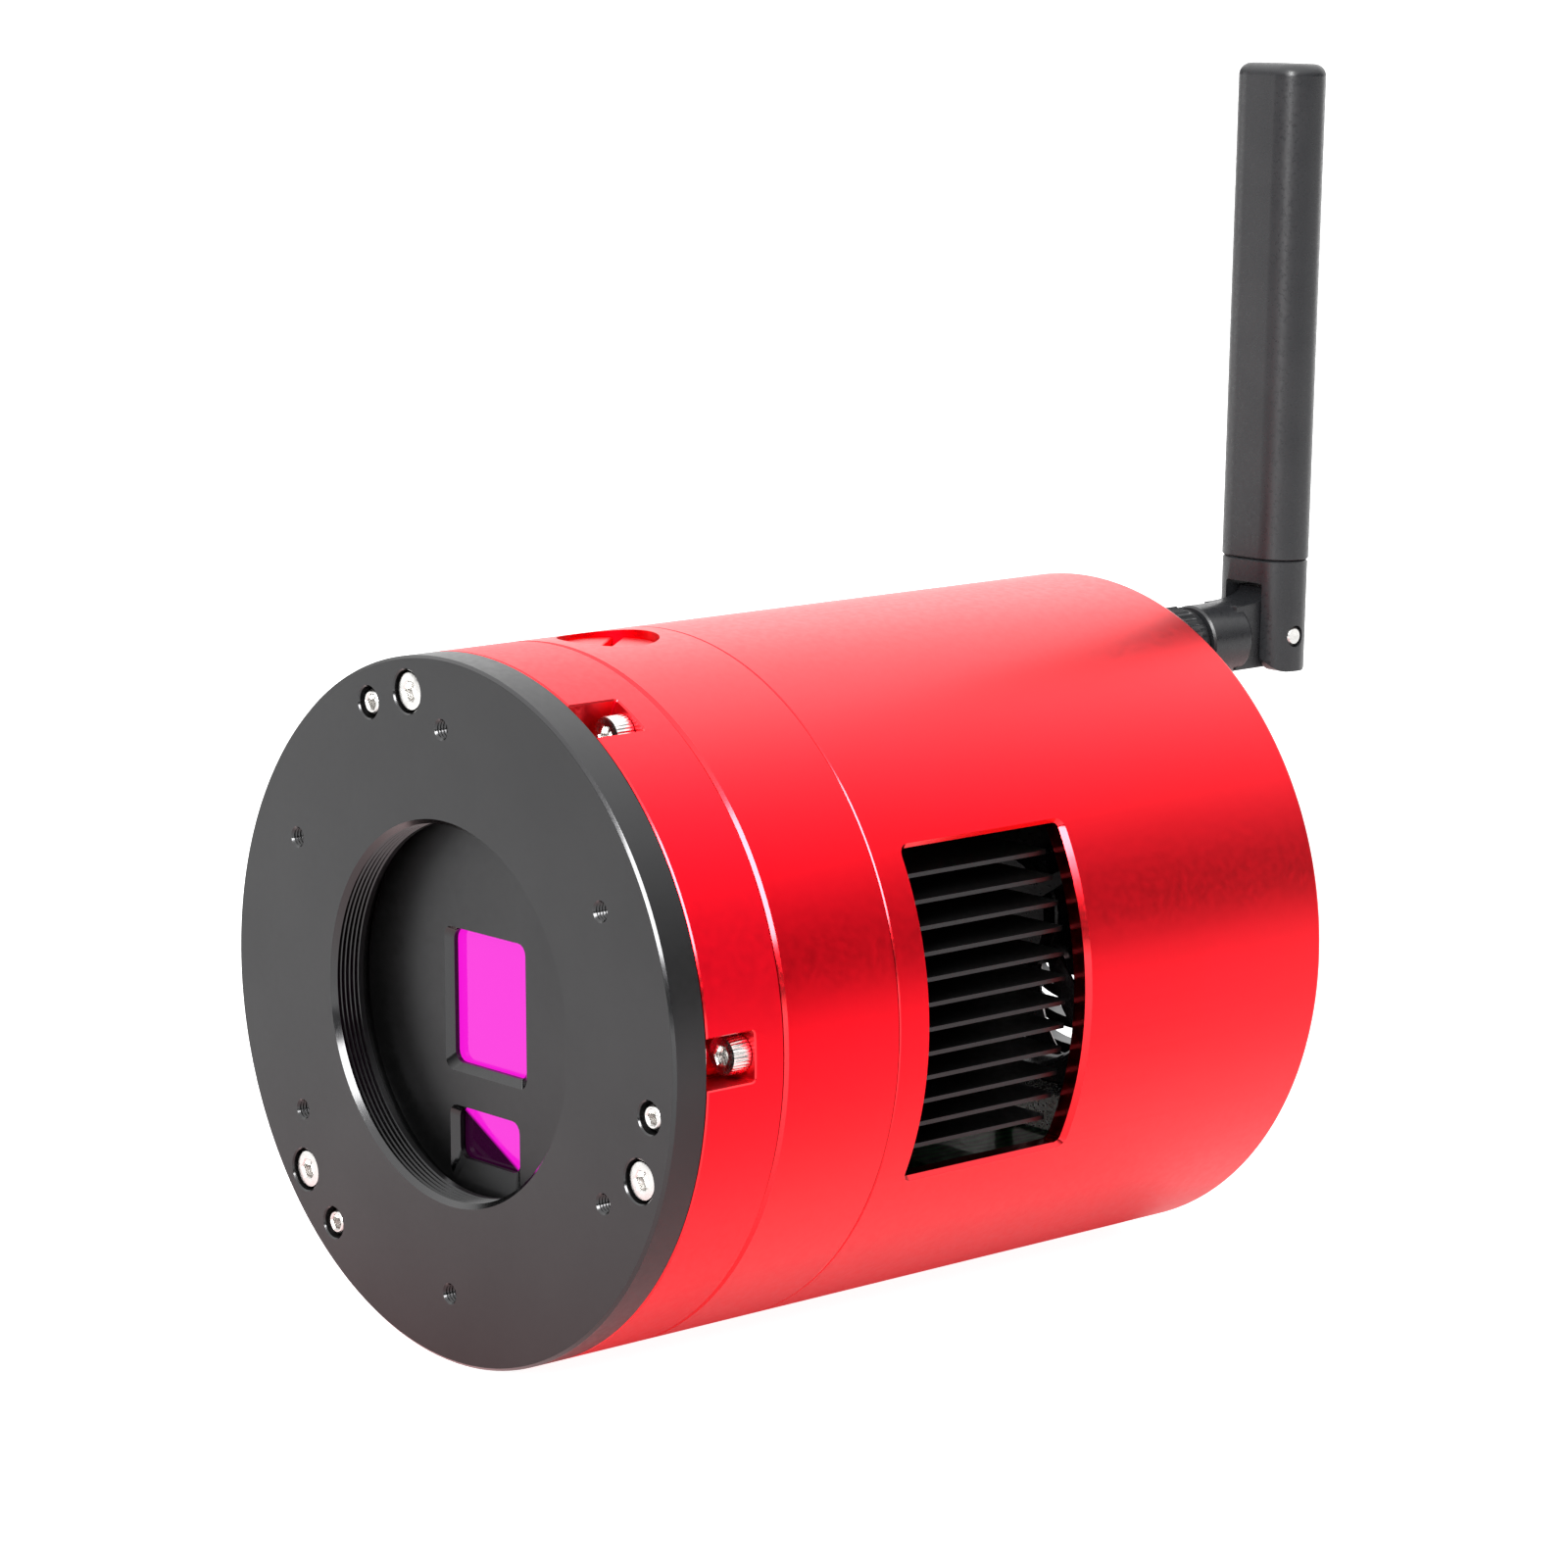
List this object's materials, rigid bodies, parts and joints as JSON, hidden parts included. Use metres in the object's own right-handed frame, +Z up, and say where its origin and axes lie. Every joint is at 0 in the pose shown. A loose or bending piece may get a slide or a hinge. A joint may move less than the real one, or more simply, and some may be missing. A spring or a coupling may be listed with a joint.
{
  "type": "cooled astronomy camera",
  "caption": "Cylindrical cooled astronomy camera: tilt plate with threaded opening, sensor window, vented heat sink, rear fan and sockets, and a folding wireless antenna.",
  "frame": {"origin": "centre of the raised round pad in the middle of the rear cover, on the optical axis", "axes": "+Y along the optical axis and out of the rear cover, so the camera looks along -Y; +Z up, the way the antenna stands; +X to the right of someone facing the lens opening"},
  "size_m": [0.1, 0.1564, 0.1768],
  "materials": {
    "red_anodised": "satin red anodised, fine bead-blasted grain",
    "black_anodised": "satin black anodised",
    "black_plastic": "satin moulded plastic",
    "steel": "bright stainless steel",
    "copper": "bare copper",
    "gold": "gold-plated brass",
    "coated_glass": "coated glass with a magenta reflection",
    "circuit_board": "green solder mask",
    "rubber": "matte black rubber",
    "polyimide": "amber film",
    "ceramic": "white ceramic",
    "foam": "dark closed-cell foam",
    "light_pipe": "clear plastic"
  },
  "bodies": {
    "housing": {"antenna_connector": "gold", "board_ribbon": "polyimide", "button_switch": "black_plastic", "chamber_oring": "rubber", "cold_finger": "copper", "computer_board": "circuit_board", "cover_screw_1": "steel", "cover_screw_2": "steel", "cover_screw_3": "steel", "cover_screw_4": "steel", "desiccant_pack": "foam", "desiccant_plug": "red_anodised", "dew_heater_ring": "polyimide", "fan_frame": "black_plastic", "fan_screw_1": "steel", "fan_screw_2": "steel", "fan_screw_3": "steel", "fan_screw_4": "steel", "front_housing": "red_anodised", "guide_sensor": "ceramic", "heat_sink": "black_anodised", "housing_screw_1": "steel", "housing_screw_2": "steel", "housing_screw_3": "steel", "housing_screw_4": "steel", "housing_screw_5": "steel", "housing_screw_6": "steel", "image_sensor": "ceramic", "insulation_collar": "foam", "main_board": "circuit_board", "mid_housing": "red_anodised", "power_jack": "black_plastic", "protective_window": "coated_glass", "rear_cover": "black_anodised", "rear_tube": "red_anodised", "sensor_board": "circuit_board", "sensor_mask": "black_anodised", "status_light_pipe": "light_pipe", "tec_cold_stage": "ceramic", "tec_hot_stage": "ceramic", "usb_c_socket": "steel", "usb_socket_1": "steel", "usb_socket_2": "steel", "window_oring": "rubber"},
    "plate": {"tilt_plate": "black_anodised"},
    "rotor": {"fan_rotor": "black_plastic", "fan_shaft": "steel"},
    "nut": {"antenna_nut": "black_plastic"},
    "elbow": {"antenna_elbow": "black_plastic"},
    "blade": {"antenna_fork": "black_plastic", "antenna_blade": "black_plastic", "hinge_pin": "steel"},
    "button": {"power_button": "black_plastic"},
    "pull_screw_1": {"tilt_pull_screw_1": "steel"},
    "push_screw_1": {"tilt_push_screw_1": "steel"},
    "pull_screw_2": {"tilt_pull_screw_2": "steel"},
    "push_screw_2": {"tilt_push_screw_2": "steel"},
    "pull_screw_3": {"tilt_pull_screw_3": "steel"},
    "push_screw_3": {"tilt_push_screw_3": "steel"}
  },
  "joints": [
    {"name": "tilt_lift", "type": "slide", "parent": "housing", "child": "plate", "axis": [0, -1, 0], "range_m": [0, 0.0004]},
    {"name": "pull_screw_1_turn", "type": "hinge", "parent": "plate", "child": "pull_screw_1", "pos_m": [-0.00781, -0.1234, 0.04432], "axis": [0, -1, 0], "range_deg": [0, 288]},
    {"name": "push_screw_1_turn", "type": "hinge", "parent": "housing", "child": "push_screw_1", "pos_m": [-0.01686, -0.1234, 0.04172], "axis": [0, 1, 0], "range_deg": [0, 205.72]},
    {"name": "pull_screw_2_turn", "type": "hinge", "parent": "plate", "child": "pull_screw_2", "pos_m": [-0.03447, -0.1234, -0.02893], "axis": [0, -1, 0], "range_deg": [0, 288]},
    {"name": "push_screw_2_turn", "type": "hinge", "parent": "housing", "child": "push_screw_2", "pos_m": [-0.0277, -0.1234, -0.03546], "axis": [0, 1, 0], "range_deg": [0, 205.72]},
    {"name": "pull_screw_3_turn", "type": "hinge", "parent": "plate", "child": "pull_screw_3", "pos_m": [0.04229, -0.1234, -0.01539], "axis": [0, -1, 0], "range_deg": [0, 288]},
    {"name": "push_screw_3_turn", "type": "hinge", "parent": "housing", "child": "push_screw_3", "pos_m": [0.04456, -0.1234, -0.00626], "axis": [0, 1, 0], "range_deg": [0, 205.72]},
    {"name": "fan_spin", "type": "hinge", "parent": "housing", "child": "rotor", "pos_m": [0, -0.0106, 0], "axis": [0, 1, 0], "continuous": true},
    {"name": "antenna_nut_spin", "type": "hinge", "parent": "housing", "child": "nut", "pos_m": [0.0118, 0.0058, 0.0399], "axis": [0, 1, 0], "continuous": true},
    {"name": "antenna_swivel", "type": "hinge", "parent": "housing", "child": "elbow", "pos_m": [0.0118, 0.0147, 0.0399], "axis": [0, 1, 0], "continuous": true},
    {"name": "antenna_fold", "type": "hinge", "parent": "elbow", "child": "blade", "pos_m": [0.0118, 0.0256, 0.0399], "axis": [-1, 0, 0], "range_deg": [-1.8, 88.2]},
    {"name": "power_button_press", "type": "slide", "parent": "housing", "child": "button", "axis": [0, -1, 0], "range_m": [0, 0.0005], "stiffness_N_per_m": 800}
  ],
  "couplings": [
    {"joint": "pull_screw_1_turn", "follows": "tilt_lift", "rad_per_m": 12566},
    {"joint": "push_screw_1_turn", "follows": "tilt_lift", "rad_per_m": 8976},
    {"joint": "pull_screw_2_turn", "follows": "tilt_lift", "rad_per_m": 12566},
    {"joint": "push_screw_2_turn", "follows": "tilt_lift", "rad_per_m": 8976},
    {"joint": "pull_screw_3_turn", "follows": "tilt_lift", "rad_per_m": 12566},
    {"joint": "push_screw_3_turn", "follows": "tilt_lift", "rad_per_m": 8976}
  ]
}
